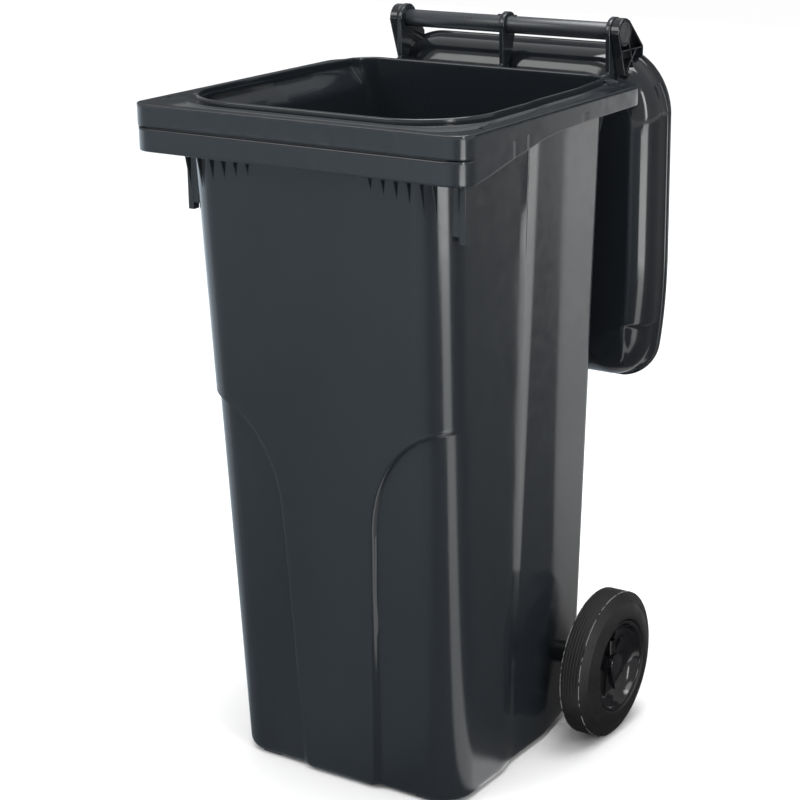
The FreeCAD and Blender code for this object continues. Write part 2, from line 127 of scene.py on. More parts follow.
def build(name, blocks, finish, body, nodes=(), crease=32.0, bevel=0.0):
    """One object from closed blocks; edges sharper than the crease angle stay sharp."""
    verts, faces, start = [], [], 0
    for points, polys in blocks:
        verts.append(points)
        faces += [[v + start for v in poly] for poly in polys]
        start += len(points)
    mesh = bpy.data.meshes.new(name)
    mesh.from_pydata(in_frame(np.concatenate(verts)), [], faces)
    mesh.update()
    mesh.materials.append(finish)
    obj = bpy.data.objects.new(name, mesh)
    bpy.context.scene.collection.objects.link(obj)
    mesh.shade_smooth()
    mesh.set_sharp_from_angle(angle=math.radians(crease))
    if bevel:
        edge = obj.modifiers.new("rounded edges", "BEVEL")
        edge.width = bevel / 1000
        edge.segments = 2
        edge.limit_method = "ANGLE"
        edge.angle_limit = math.radians(40)
        edge.harden_normals = False
    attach(obj, body)
    if nodes:
        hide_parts(*nodes)
    return obj


def combine(obj, blocks, operation):
    """Joins blocks to obj or cuts them from it, and keeps the result as its mesh."""
    for points, polys in blocks:
        mesh = bpy.data.meshes.new("cutter")
        mesh.from_pydata(in_frame(points), [], polys)
        mesh.materials.append(obj.data.materials[0])
        tool = bpy.data.objects.new("cutter", mesh)
        bpy.context.scene.collection.objects.link(tool)
        step = obj.modifiers.new("cut", "BOOLEAN")
        step.object, step.operation, step.solver = tool, operation, "MANIFOLD"
        bpy.context.view_layer.update()
        done = bpy.data.meshes.new_from_object(obj.evaluated_get(bpy.context.evaluated_depsgraph_get()))
        obj.modifiers.clear()
        old = obj.data
        obj.data = done
        done.name = obj.name
        bpy.data.meshes.remove(old)
        bpy.data.objects.remove(tool)
        bpy.data.meshes.remove(mesh)
    return obj


def smooth(t):
    """Step from 0 to 1 with level ends: 3 t squared less 2 t cubed, held outside 0 to 1."""
    t = np.clip(t, 0, 1)
    return t * t * (3 - 2 * t)


def knee(t, soft):
    """Zero below 0 and t above it, with a rounded bend: half of t plus the root of t squared plus soft squared."""
    return 0.5 * (t + np.sqrt(t * t + soft * soft))


def cuts(*runs):
    """Stations from (start, end, count) runs joined end to end."""
    parts = [np.linspace(a, b, n, endpoint=False) for a, b, n in runs]
    return np.concatenate(parts + [[runs[-1][1]]])


def turned(profile, y, z, steps=96, axis_x=0.0):
    """Closed ring: an outline of (x, radius) points carried round the line through (y, z)."""
    profile = np.array(profile, float)
    turn = np.linspace(0, 2 * np.pi, steps, endpoint=False)
    x = np.broadcast_to(profile[:, :1] + axis_x, (len(profile), steps))
    r = profile[:, 1:]
    rings = np.stack([x, y + r * np.cos(turn), z + r * np.sin(turn)], -1)
    if profile[0, 1] < 1e-6:
        return pole_skin(rings)
    return skin(rings, closed_rows=True)


def pole_skin(rings):
    """Closed surface whose first and last rings are single points on the axis."""
    inner = rings[1:-1]
    rows, cols = inner.shape[:2]
    flat = np.concatenate([inner.reshape(-1, 3), rings[0, :1], rings[-1, :1]])
    quads = grid_faces(rows, cols).tolist()
    a, b = rows * cols, rows * cols + 1
    j = np.arange(cols)
    start = np.stack([(j + 1) % cols, j, np.full(cols, a)], -1).tolist()
    last = (rows - 1) * cols
    end = np.stack([last + j, last + (j + 1) % cols, np.full(cols, b)], -1).tolist()
    faces = quads + start + end
    if volume(flat, [np.array(f) for f in faces]) < 0:
        faces = [f[::-1] for f in faces]
    return flat, faces


def prism(outline, x1, x2):
    """Plate between x1 and x2 with an outline of (y, z) points."""
    outline = np.array(outline, float)
    ring = lambda x: np.column_stack([np.full(len(outline), x), outline])
    return skin(np.stack([ring(x1), ring(x2)]))


def block(x1, x2, y1, y2, z1, z2):
    return prism([(y1, z1), (y2, z1), (y2, z2), (y1, z2)], x1, x2)


def mirrored(blocks):
    """The same blocks on the other side of the bin, with their faces turned to point outwards."""
    return [(points * [-1, 1, 1], [list(poly)[::-1] for poly in polys]) for points, polys in blocks]


def both(blocks):
    return list(blocks) + mirrored(blocks)


def arc(cy, cz, ry, rz, a1, a2, n):
    """Points on an ellipse arc about (cy, cz), from angle a1 to a2 in degrees."""
    t = np.radians(np.linspace(a1, a2, n))
    return list(zip(cy + ry * np.cos(t), cz + rz * np.sin(t)))


# ------------------------------------------------------------------ materials
def linear(code):
    """sRGB hex to linear colour with alpha."""
    part = [int(code[i:i + 2], 16) / 255 for i in (1, 3, 5)]
    return [c / 12.92 if c <= 0.04045 else ((c + 0.055) / 1.055) ** 2.4 for c in part] + [1.0]


def node(tree, kind, settings=None, **links):
    """Adds a node; settings are its properties and socket values, links join other sockets to it."""
    made = tree.nodes.new(kind)
    for key, value in (settings or {}).items():
        if key in made.inputs:
            made.inputs[key].default_value = value
        else:
            setattr(made, key, value)
    for key, source in links.items():
        slot = made.inputs[int(key[1:])] if key[0] == "i" and key[1:].isdigit() else made.inputs[key.replace("_", " ")]
        tree.links.new(source, slot)
    return made


def maths(tree, operation, first, second):
    """One sum of two inputs, each a socket or a number."""
    made = tree.nodes.new("ShaderNodeMath")
    made.operation = operation
    for slot, value in zip(made.inputs, (first, second)):
        if isinstance(value, (int, float)):
            slot.default_value = value
        else:
            tree.links.new(value, slot)
    return made.outputs[0]


def material(name, colour, roughness, ior=1.5, metallic=0.0, coat=0.0, coat_roughness=0.05):
    """Bare principled material and its tree, shader and object coordinates in metres."""
    made = bpy.data.materials.new(name)
    made.use_nodes = True
    tree = made.node_tree
    shader = tree.nodes["Principled BSDF"]
    shader.inputs["Base Color"].default_value = linear(colour)
    shader.inputs["Roughness"].default_value = roughness
    shader.inputs["IOR"].default_value = ior
    shader.inputs["Metallic"].default_value = metallic
    shader.inputs["Coat Weight"].default_value = coat
    shader.inputs["Coat Roughness"].default_value = coat_roughness
    place = node(tree, "ShaderNodeTexCoord").outputs["Object"]
    return made, tree, shader, place


def moulded_hdpe(name, colour, dark, roughness, grain_mm, sag, seed):
    """Injection-moulded HDPE: slow waves from shrinkage, a fine mould grain and faint scuffs."""
    made, tree, shader, place = material(name, colour, roughness, ior=1.53)
    # slow unevenness of a moulded wall, about 60 mm across and drawn out along the flow
    stretch = node(tree, "ShaderNodeMapping", {"Scale": (1.0, 1.0, 0.35), "Location": (seed, 0, 0)}, Vector=place)
    waves = node(tree, "ShaderNodeTexNoise", {"Scale": 16.0, "Detail": 1.0}, Vector=stretch.outputs[0])
    # mould grain, drawn coarser than the real 0.3 mm so that it shows
    grain = node(tree, "ShaderNodeTexNoise", {"Scale": 1000 / grain_mm, "Detail": 2.0}, Vector=place)
    low = node(tree, "ShaderNodeBump", {"Strength": 1.0, "Distance": sag / 1000}, Height=waves.outputs["Fac"])
    fine = node(tree, "ShaderNodeBump", {"Strength": 0.5, "Distance": 0.000004}, Height=grain.outputs["Fac"],
                Normal=low.outputs[0])
    tree.links.new(fine.outputs[0], shader.inputs["Normal"])
    # scuffs: patches a little duller, 5 to 30 mm
    scuff = node(tree, "ShaderNodeTexNoise", {"Scale": 55.0, "Detail": 5.0, "Roughness": 0.65}, Vector=place)
    dull = node(tree, "ShaderNodeMapRange", {"From Min": 0.35, "From Max": 0.75, "To Min": roughness - 0.03,
                                             "To Max": roughness + 0.07}, Value=scuff.outputs["Fac"])
    tree.links.new(dull.outputs[0], shader.inputs["Roughness"])
    shade = node(tree, "ShaderNodeMix", {"data_type": "RGBA"}, Factor=waves.outputs["Fac"])
    shade.inputs[6].default_value, shade.inputs[7].default_value = linear(dark), linear(colour)
    tree.links.new(shade.outputs[2], shader.inputs["Base Color"])
    return made


def solid_rubber():
    """Moulded solid rubber: dull, with a faint bloom, fine grain and a painted highlight along each shoulder."""
    made, tree, shader, place = material("solid rubber", "#101010", 0.5, ior=1.52)
    bloom = node(tree, "ShaderNodeTexNoise", {"Scale": 45.0, "Detail": 6.0, "Roughness": 0.6}, Vector=place)
    shade = node(tree, "ShaderNodeMix", {"data_type": "RGBA"}, Factor=bloom.outputs["Fac"])
    shade.inputs[6].default_value, shade.inputs[7].default_value = linear("#0b0b0c"), linear("#161617")
    tree.links.new(shade.outputs[2], shader.inputs["Base Color"])
    # painted highlight: a pale line at each shoulder, 1.5 mm wide and broken every few millimetres, standing in for
    # the light that the mould line's edge catches
    across = maths(tree, "ABSOLUTE", node(tree, "ShaderNodeSeparateXYZ", Vector=place).outputs[0], 0.0)
    off = maths(tree, "ABSOLUTE", maths(tree, "SUBTRACT", across, 0.219), 0.0)
    line = maths(tree, "COMPARE", off, 0.0139)
    line.node.inputs[2].default_value = 0.0007
    highlight_gaps = node(tree, "ShaderNodeTexNoise", {"Scale": 130.0, "Detail": 3.0}, Vector=place)
    painted_highlight = maths(tree, "MULTIPLY", line, maths(tree, "GREATER_THAN", highlight_gaps.outputs["Fac"], 0.47))
    # the painted highlight's pale grey mixed over the rubber's own colour
    pale = node(tree, "ShaderNodeMix", {"data_type": "RGBA"}, Factor=painted_highlight)
    pale.inputs[7].default_value = linear("#6e6e6e")
    tree.links.new(shade.outputs[2], pale.inputs[6])
    tree.links.new(pale.outputs[2], shader.inputs["Base Color"])
    grain = node(tree, "ShaderNodeTexNoise", {"Scale": 700.0, "Detail": 3.0}, Vector=place)
    bump = node(tree, "ShaderNodeBump", {"Strength": 0.6, "Distance": 0.00025}, Height=grain.outputs["Fac"])
    tree.links.new(bump.outputs[0], shader.inputs["Normal"])
    dull = node(tree, "ShaderNodeMapRange", {"From Min": 0.3, "From Max": 0.7, "To Min": 0.45, "To Max": 0.65},
                Value=bloom.outputs["Fac"])
    tree.links.new(dull.outputs[0], shader.inputs["Roughness"])
    return made


def zinc_plated(name, colour, roughness):
    """Zinc-plated steel bar: grey metal with a drawn grain along its length and small dull spots."""
    made, tree, shader, place = material(name, colour, roughness, metallic=1.0)
    drawn = node(tree, "ShaderNodeMapping", {"Scale": (0.02, 1.0, 1.0)}, Vector=place)
    lines = node(tree, "ShaderNodeTexNoise", {"Scale": 900.0, "Detail": 3.0}, Vector=drawn.outputs[0])
    spots = node(tree, "ShaderNodeTexNoise", {"Scale": 160.0, "Detail": 4.0}, Vector=place)
    dull = node(tree, "ShaderNodeMapRange", {"From Min": 0.3, "From Max": 0.75, "To Min": roughness - 0.08,
                                             "To Max": roughness + 0.15}, Value=spots.outputs["Fac"])
    tree.links.new(dull.outputs[0], shader.inputs["Roughness"])
    bump = node(tree, "ShaderNodeBump", {"Strength": 0.4, "Distance": 0.00005}, Height=lines.outputs["Fac"])
    tree.links.new(bump.outputs[0], shader.inputs["Normal"])
    return made


BODY_HDPE = moulded_hdpe("moulded HDPE, anthracite body", "#202428", "#1d2125", 0.15, 1.2, 0.18, 0.0)
LID_HDPE = moulded_hdpe("moulded HDPE, anthracite lid", "#1b1e22", "#191c1f", 0.10, 1.2, 0.10, 3.0)
TUBE_HDPE = moulded_hdpe("extruded HDPE tube", "#303338", "#2b2e32", 0.30, 0.8, 0.1, 5.0)
RIM_PP = moulded_hdpe("moulded polypropylene, black", "#161518", "#121114", 0.12, 1.0, 0.08, 7.0)
DULL_PP = moulded_hdpe("moulded polypropylene, dull black", "#0a0a0b", "#080809", 0.5, 1.0, 0.05, 11.0)
PIN_NYLON = moulded_hdpe("moulded nylon, dark grey", "#2a2d30", "#25272a", 0.38, 0.8, 0.06, 9.0)
RUBBER = solid_rubber()
AXLE_ZINC = zinc_plated("zinc-plated steel", "#b9bbbd", 0.34)
SPRING_STEEL = zinc_plated("spring steel wire", "#8f9193", 0.28)


# ------------------------------------------------------------------ tub
def size_at(z):
    """Each plan dimension of the tub at height z, straight lines between the three levels."""
    return {key: np.interp(z, TUB_Z, value) for key, value in TUB.items()}


def side_half(y, s, inset):
    """Half width of the tub at depth y: flat panel, slanting step behind the crease, flat channel, taper."""
    back = (s["wide"] - s["waist"]) / STEP
    tail = (s["waist"] - s["tail"]) / (s["rear"] - TAPER)
    drop = back * (knee(y - s["crease"], 3.0) - knee(y - s["crease"] - STEP, 3.0)) + tail * knee(y - TAPER, 5.0)
    return s["wide"] - inset - drop


def recess(x, z):
    """0 to 1 inside the arch: distance from the straight leg below, or from the ellipse above, over its width."""
    leg = x - (52 + 16 * z / 355)
    a, b = (190 - x) / 122, np.maximum(z - 355, 0) / 153
    ring = (1 - np.hypot(a, b)) * 135
    inside = np.where(z < 355, leg, np.where(x < 190, ring, (508 - z)))
    width = 4.2 + 7.0 * np.clip(1 - z / 280, 0, 1)
    return smooth(inside / width) - 0.06 * np.exp(-((inside + 1.6) / 1.5) ** 2)


def arch_lines(p, z):
    """Bends straight grid lines to follow the arch: a square corner about (190, 355) becomes an ellipse."""
    lean = 16 * np.clip(1 - z / 355, 0, 1) * np.clip(1 - np.abs(p - 68) / 60, 0, 1)
    a, b = np.maximum((190 - p) / 122, 0), np.maximum((z - 355) / 153, 0)
    reach = np.maximum(np.maximum(a, b), 1e-6)
    pull = reach / np.maximum(np.hypot(a, b), 1e-6)
    pull = 1 + (pull - 1) * smooth((1.52 - reach) / 0.35)
    mixed = (a > 0) & (b > 0)
    new_p = np.where(mixed, 190 - a * pull * 122, p)
    new_z = np.where(mixed, 355 + b * pull * 153, z)
    return new_p - lean, new_z


def tub_rings(z_rows, inset_rows, detail, arch_depth=7.0, bead=0.9):
    """Rings round the tub.  Front and its corners go by distance from the middle, the sides by depth,
    the rear corners by angle.  The arches move points straight back; two beads run along the crease."""
    z = np.array(z_rows, float)[:, None]
    inset = np.array(inset_rows, float)[:, None]
    s = size_at(z)
    s = {k: v for k, v in s.items()}
    s["rear"] = np.minimum(s["rear"], 371 + np.sqrt(np.maximum(HEEL ** 2 - np.maximum(63 - z, 0) ** 2, 0)))
    if detail:
        front_p = cuts((0, 40, 5), (40, 58, 4), (58, 82, 20), (82, 122, 7), (122, 210, 30))
        side_t = cuts((0, 0.42, 8), (0.42, 0.60, 26), (0.60, 0.72, 8), (0.72, 1, 12))
    else:
        front_p = cuts((0, 60, 3), (60, 84, 10), (84, 122, 5), (122, 210, 16))
        side_t = cuts((0, 0.42, 5), (0.42, 0.60, 12), (0.60, 0.72, 5), (0.72, 1, 7))
    run = s["wide"] - s["r1"]
    end = run + s["r1"] * np.pi / 2
    p = np.where(front_p < 110, front_p, 110 + (front_p - 110) * (end - 110) / 100)
    p, zz = arch_lines(p, np.broadcast_to(z, p.shape))
    f = size_at(zz)
    r1 = f["r1"] - inset
    run = f["wide"] - f["r1"]
    phi = np.clip((p - run) / f["r1"], 0, np.pi / 2)
    x = np.minimum(p, run) + r1 * np.sin(phi)
    y = f["front"] + inset + r1 * (1 - np.cos(phi)) + np.maximum(p - run - f["r1"] * np.pi / 2, 0)
    y = y + arch_depth * recess(x + inset, zz)
    x = np.where(p > run + f["r1"] * np.pi / 2, side_half(y, f, inset), x)
    # side, from the end of the front corner to the start of the rear corner
    r2 = s["r2"] - inset
    y0, y1 = s["front"] + s["r1"], s["rear"] - s["r2"]
    t = side_t[1:]
    ys = y0 + (y1 - y0) * t
    first = 7.0 * recess(s["wide"], z) * np.clip(1 - t / 0.3, 0, 1)
    ys = ys + first * (arch_depth > 0)
    xs = side_half(ys, s, inset)
    crease = ys - s["crease"]
    xs = xs + bead * (np.exp(-((crease + 4.5) / 2.0) ** 2) + np.exp(-((crease - 3.0) / 2.0) ** 2))
    # rear corner by angle and the straight rear, slightly bowed
    turn = np.linspace(0, np.pi / 2, 11 if detail else 7)[1:]
    xc = side_half(s["rear"] - s["r2"], s, 0) - s["r2"]
    xr = xc + r2 * np.cos(turn)
    yr = s["rear"] - s["r2"] + r2 * np.sin(turn)
    u = np.linspace(1, 0, 7)[1:]
    xb = xc * u
    yb = np.broadcast_to(s["rear"] - inset, xb.shape)
    zb = np.broadcast_to(z, xb.shape)
    half_x = np.concatenate([x, xs, xr, xb], 1)
    half_y = np.concatenate([y, ys, np.broadcast_to(yr, xr.shape), yb], 1)
    half_z = np.concatenate([zz, np.broadcast_to(z, xs.shape), np.broadcast_to(z, xr.shape), zb], 1)
    right = np.stack([half_x, half_y, half_z], -1)
    left = right[:, -2:0:-1] * [-1, 1, 1]
    return np.concatenate([right, left], 1)


def tub():
    """One closed skin: up the outside, over the rounded lip and down the inside to the floor."""
    q = np.linspace(0, 1, 8)
    low_z = 3 + 12 * (1 - np.cos(q * np.pi / 2))
    low_in = 9 * (1 - np.sin(q * np.pi / 2))
    body_z = cuts((15, 63, 8), (63, 355, 28), (355, 480, 22), (480, 530, 34), (530, 818, 28), (818, 872, 12),
                  (872, 882.6, 4))[1:]
    lip = np.radians(np.linspace(0, 180, 9))[1:-1]
    out_z = np.concatenate([low_z, body_z, 882.6 + 2.2 * np.sin(lip)])
    out_in = np.concatenate([low_in, 0 * body_z, 2.0 * (1 - np.cos(lip))])
    outer = tub_rings(out_z, out_in, True)
    in_z = cuts((882.6, 872, 3), (872, 818, 8), (818, 530, 14), (530, 480, 12), (480, 355, 12), (355, 63, 14),
                (63, 20, 5), (20, 7, 5))
    in_inset = WALL + np.interp(in_z, [7, 10, 20], [7, 3.5, 0])
    inner = tub_rings(in_z, in_inset, True, bead=0.0)
    return np.concatenate([outer, inner])


def heel_box():
    """Raised floor over the axle bay, its faces inside the tub's wall."""
    rings = []
    for z, inset, rear in ((5.0, 7.0, 380.0), (146.0, 2.0, 428.5)):
        y = np.array([345, 375, rear - 12, rear - 3, rear])
        x = side_half(y, size_at(z), inset) - [0, 0, 0, 5, 14]
        right = np.column_stack([x, y, np.full(5, z)])
        rings.append(np.concatenate([right, right[::-1] * [-1, 1, 1]]))
    return skin(np.array(rings))


def bay_cutters():
    """Three open boxes from below, left apart by the two bay ribs, and the axle's hole."""
    ends = [(-145, -52), (-48, 48), (52, 145)]
    boxes = [block(a, b, 349, 427, -20, 142) for a, b in ends]
    return boxes + [turned_bar(10.1, -200, 200, AXLE_Y, AXLE_Z, 48)]


def turned_bar(radius, x1, x2, y, z, steps=48):
    """Round bar along x."""
    turn = np.linspace(0, 2 * np.pi, steps, endpoint=False)
    ring = lambda x: np.column_stack([np.full(steps, x), y + radius * np.cos(turn), z + radius * np.sin(turn)])
    return skin(np.stack([ring(x1), ring(x2)]))


def upright(radius, z1, z2, steps=32):
    """Round bar standing on the origin."""
    turn = np.linspace(0, 2 * np.pi, steps, endpoint=False)
    ring = lambda z: np.column_stack([radius * np.cos(turn), radius * np.sin(turn), np.full(steps, z)])
    return skin(np.stack([ring(z1), ring(z2)]))


def front_y(z):
    return np.interp(z, TUB_Z, TUB["front"])


# ------------------------------------------------------------------ comb rim
def rounded_plan(half, front, rear, r_front, r_rear, stations):
    """Rounded rectangle, symmetric about x = 0, from the middle of the front round the right side.
    stations holds the front straight, front corner, side and rear straight as fractions."""
    front_t, corner_t, side_t, rear_t = stations
    h, f, b = (np.asarray(v, float).reshape(-1, 1) for v in (half, front, rear))
    r, q = (np.asarray(v, float).reshape(-1, 1) for v in (r_front, r_rear))
    phi = corner_t * np.pi / 2
    x = [(h - r) * front_t, h - r + r * np.sin(phi), h + 0 * side_t, h - q + q * np.cos(phi), (h - q) * rear_t]
    y = [f + 0 * front_t, f + r * (1 - np.cos(phi)), f + r + (b - q - f - r) * side_t, b - q + q * np.sin(phi),
         b + 0 * rear_t]
    return np.concatenate(x, 1), np.concatenate(y, 1)


SKIRT_LINES = (110, 143, 197, 278, 346)      # witness lines of the inner ribs on the side skirt, y


def comb_rim():
    """Section carried round the rim: flange, rounded edge, upper band, groove, prouder lower band and back up
    inside.  The lower part is stretched so that its edge rises along the sides."""
    e = np.radians(np.linspace(90, 0, 5))
    rows = [(199.0, 37.5, 877.5), (213.6, 25.0, 877.4), (214.6, 24.0, 878.4), (215.8, 22.8, 878.8),
            (217.2, 21.4, 878.8), (218.4, 20.2, 878.3), (219.2, 19.4, 877.4), (228, 9, 877.4)]
    rows += [(237.5 - 1.6 + 1.6 * math.cos(a), 1.2 + 1.6 - 1.6 * math.cos(a), 875.9 + 1.6 * math.sin(a)) for a in e]
    rows += [(237.5, 1.2, z) for z in (872, 866, 859, 853, 850.8)]
    rows += [(237.5, 1.5, 850.2), (237.5, 3.3, 849.7), (237.5, 3.6, 849.1), (237.5, 3.3, 848.4)]
    rows += [(237.5, 0.6, 847.9), (237.5, 0.1, 847.2), (237.5, 0.0, 845), (237.5, 0.0, 838), (237.5, 0.0, 830),
             (237.5, 0.0, 823), (237.5, 0.0, 820.9)]
    rows += [(237.1, 0.4, 820.0), (236.2, 1.3, 819.5), (234.9, 2.6, 819.6), (234.2, 3.3, 820.4), (234.0, 3.5, 822)]
    rows += [(234.0, 3.6, 840), (234.0, 4.6, 850), (234.0, 4.6, 868), (233.5, 5.2, 873), (225, 12, 874),
             (199.0, 37.5, 874)]
    side, front, z = np.array(rows).T
    lines = np.concatenate([[y - 1.1, y - 0.5, y + 0.5, y + 1.1] for y in SKIRT_LINES])
    side_y = np.sort(np.concatenate([np.linspace(25, 424, 60), lines]))
    stations = (np.linspace(0, 1, 61)[:-1], np.linspace(0, 1, 17), (side_y[1:-1] - 25) / 399.0,
                np.linspace(1, 0, 13)[1:])
    r_front = np.interp(side, [199, 213, 220, 228, 234, 237.5], [80, 95, 92, 26, 20, 23]) + 4 * (z < 849)
    r_rear = np.interp(side, [199, 212, 225, 237.5], [50, 46, 42, 40])
    x, y = rounded_plan(side, front, 446 - np.clip(237.5 - side, 0, 4), r_front, r_rear, stations)
    # the inner rows follow the lip's plan, with the ridge 3 mm outside it
    out = np.where(side < 200, -2.5, np.where(side < 220, side - 210.5, 99.0))[:, None]
    near = np.minimum(x, side_half(np.maximum(y, 90.0), size_at(872), 0) + out)
    x = np.where((out < 50) & (y > 95) & (y < 400), near, np.where(out < 0, near, x))
    x = x + np.sign(x) * 3.0 * smooth((np.abs(x) - 200) / 30) * np.clip(1 - y / 420, 0, 1)
    low = np.interp(y, [20, 32, 60, 82, 115, 142, 174, 210, 292, 460],
                    [819.5, 820.3, 824.5, 829.5, 836, 840, 846, 850, 852.5, 853])
    share = (z[:, None] - 819.5) / (874 - 819.5)
    zz = np.where(z[:, None] < 874, low + share * (874 - low), z[:, None])
    # faint vertical wrinkles on the upper band, 12 to 30 mm apart, a quarter of a millimetre deep
    band = smooth((z[:, None] - 850.5) / 3) * smooth((877 - z[:, None]) / 3) * (y < 6)
    wrinkle = 0.5 * np.sin(x / 3.7) * np.sin(x / 9.1 + 1.0) + 0.5 * np.sin(x / 5.9 + 2.0) * np.cos(x / 17 + 0.4)
    y = y + band * 0.22 * (wrinkle + 1) * smooth(1.4 - np.abs(x) / 200)
    # witness lines on the side skirt
    face = (side[:, None] > 237.3) * (np.abs(x) > 236)
    for line in SKIRT_LINES:
        x = x - face * 0.3 * np.exp(-((y - line) / 0.6) ** 2)
    right = np.stack([x, y, zz], -1)
    left = right[:, -2:0:-1] * [-1, 1, 1]
    return skin(np.concatenate([right, left], 1), closed_rows=True)


def gussets():
    """Thin fins under the comb with hollow lower edges, longer towards the corners."""
    fins = []
    for k in range(6):
        x, tip = 89.5 + 18 * k, 793.0 - 4.5 * k
        foot = float(front_y(tip)) + 1
        curve = [(foot - 13 + 13 * t, 826 - (826 - tip) * t ** 1.2) for t in np.linspace(0, 1, 10)]
        fins.append(prism([(3.6, 876), (3.6, 832)] + curve + [(foot + 3, 876)], x - 0.7, x + 0.7))
    return fins


def guide_posts():
    """Square post beside each front corner, hanging from the flange, with a web that flares to the rim."""
    post = block(195.2, 203.8, 62.2, 72.8, 739.2, 876)
    flare = [(72.5, 762)] + [(72.5 + 39 * t ** 2, 762 + 60 * t) for t in np.linspace(0.15, 1, 8)]
    web = prism(flare + [(111, 876), (72.5, 876)], 198.6, 200.4)
    inner = prism([(62.5, 748), (66, 748), (66, 876), (62.5, 876)], 176, 196)
    front = [(62.6, 800)] + [(62.6 - 40 * t ** 2, 800 + 24 * t) for t in np.linspace(0.2, 1, 8)]
    fore = prism(front + [(22, 876), (62.6, 876)], 198.6, 200.4)
    return [post, web, inner, fore]


def ring_block(radius, bore, x1, x2, steps=72):
    """Tube about the hinge line with softened outer edges."""
    c = 0.7
    outline = [(x1 + c, radius), (x2 - c, radius), (x2 - 0.2, radius - 0.2), (x2, radius - c), (x2, bore),
               (x1, bore), (x1, radius - c), (x1 + 0.2, radius - 0.2)]
    return turned(outline, HINGE_Y, HINGE_Z, steps)


def bracket_blocks():
    """Three upright plates from the rear wall to the rings that hold the tube."""
    def plate(x1, x2, r):
        foot = [(440, 800), (449, 800), (456, 812), (466, 830), (477, 850), (488, 872), (496, 886), (503, 899)]
        head = [(HINGE_Y + r, HINGE_Z - 6)]
        back = [(HINGE_Y + r - 0.3, HINGE_Z), (HINGE_Y - r + 0.3, HINGE_Z)]
        front = [(HINGE_Y - r + 1, 880), (HINGE_Y - r - 2, 878), (440, 877)]
        below = arc(HINGE_Y, HINGE_Z, 11.55, 11.55, 0, -180, 19)
        outline = foot + head + [back[0]] + below + [back[1]] + front
        return prism(outline, x1, x2)
    outer = [plate(158, 164, 19), ring_block(19, 11.55, 157, 164)]
    rib = prism([(441, 806), (452, 806), (484, 872), (484, 876.5), (441, 876.5)], 158.2, 163.8)
    return both(outer + [rib]) + [plate(-3, 3, 17), ring_block(17, 11.55, -4, 4)]


def skids():
    """Low pads under the base."""
    return both([block(107.3, 136.7, 88.3, 95.7, 0.05, 6), block(146.3, 153.7, 262.3, 291.7, 0.05, 6)])


def nest():
    """Socket under the flange for the transponder plug."""
    turn = np.linspace(0, 2 * np.pi, 48, endpoint=False)
    ring = lambda r, z: np.column_stack([62 + r * np.cos(turn), 17 + r * np.sin(turn), np.full(48, z)])
    return skin(np.stack([ring(12.4, 875), ring(12.4, 851), ring(12.0, 850.6), ring(10.55, 850.6), ring(10.55, 875)]),
                closed_rows=True)


body = build("tub", [skin(tub())], BODY_HDPE, "bin", ["bin_body"], crease=50)
combine(body, [heel_box()], "UNION")
combine(body, bay_cutters(), "DIFFERENCE")
body.data.shade_smooth()
body.data.set_sharp_from_angle(angle=math.radians(38))
rim = build("comb_rim", [comb_rim()], BODY_HDPE, "bin", crease=60)
combine(rim, [(bolt + [side * 226, 60, 0], polys) for side in (-1, 1) for bolt, polys in [upright(3.0, 860, 890)]],
        "DIFFERENCE")
rim.data.shade_smooth()
rim.data.set_sharp_from_angle(angle=math.radians(60))
build("comb_gussets", both(gussets()), BODY_HDPE, "bin", bevel=0.3)
build("guide_posts", both(guide_posts()), BODY_HDPE, "bin", bevel=0.6)
build("handle_brackets", bracket_blocks(), BODY_HDPE, "bin", bevel=0.5)
build("base_skids", skids(), BODY_HDPE, "bin", bevel=0.8)
build("transponder_nest", [nest()], BODY_HDPE, "bin")


# ------------------------------------------------------------------ handle and hinge pins
def handle_tube():
    """Tube with a rounded lip at each end and two small nubs beside the middle ring."""
    tube = turned([(-163.6, 11.2), (-163.2, 11.48), (163.2, 11.48), (163.6, 11.2), (163.6, 8.05), (-163.6, 8.05)],
                  HINGE_Y, HINGE_Z, 72)
    nubs = [block(x, x + 5, HINGE_Y - 2, HINGE_Y + 2, HINGE_Z + 9.5, HINGE_Z + 12.9) for x in (-14, 9)]
    return [tube] + nubs


def hinge_pin():
    """Pin with a flat head: dished face, raised ring at its edge and a centre dimple."""
    head = 176.7
    return turned([(138.5, 0), (138.5, 7.6), (139, 7.97), (head - 2.5, 7.97), (head - 2.5, 13.2), (head - 2.2, 13.9),
                   (head - 0.6, 13.9), (head - 0.1, 13.5), (head, 12.4), (head - 0.1, 11.6), (head - 0.9, 11.0),
                   (head - 1.0, 6), (head - 0.95, 1.2), (head - 1.3, 0)], HINGE_Y, HINGE_Z, 64)


build("handle_tube", handle_tube(), TUBE_HDPE, "bin", ["handle_bar"], crease=40)
for side, blocks in (("right", [hinge_pin()]), ("left", mirrored([hinge_pin()]))):
    build("hinge_pin_head_" + side, blocks, PIN_NYLON, "bin", ["hinge_pin_" + side], crease=40)


# ------------------------------------------------------------------ lid, drawn closed and swung over
def swing(points):
    """Closed place to hanging place: a quarter turn about the hinge line."""
    out = np.array(points, float)
    y, z = out[..., 1].copy(), out[..., 2].copy()
    out[..., 1] = HINGE_Y - (z - HINGE_Z)
    out[..., 2] = HINGE_Z + (y - HINGE_Y)
    return out


def hung(blocks):
    return [(swing(points), polys) for points, polys in blocks]


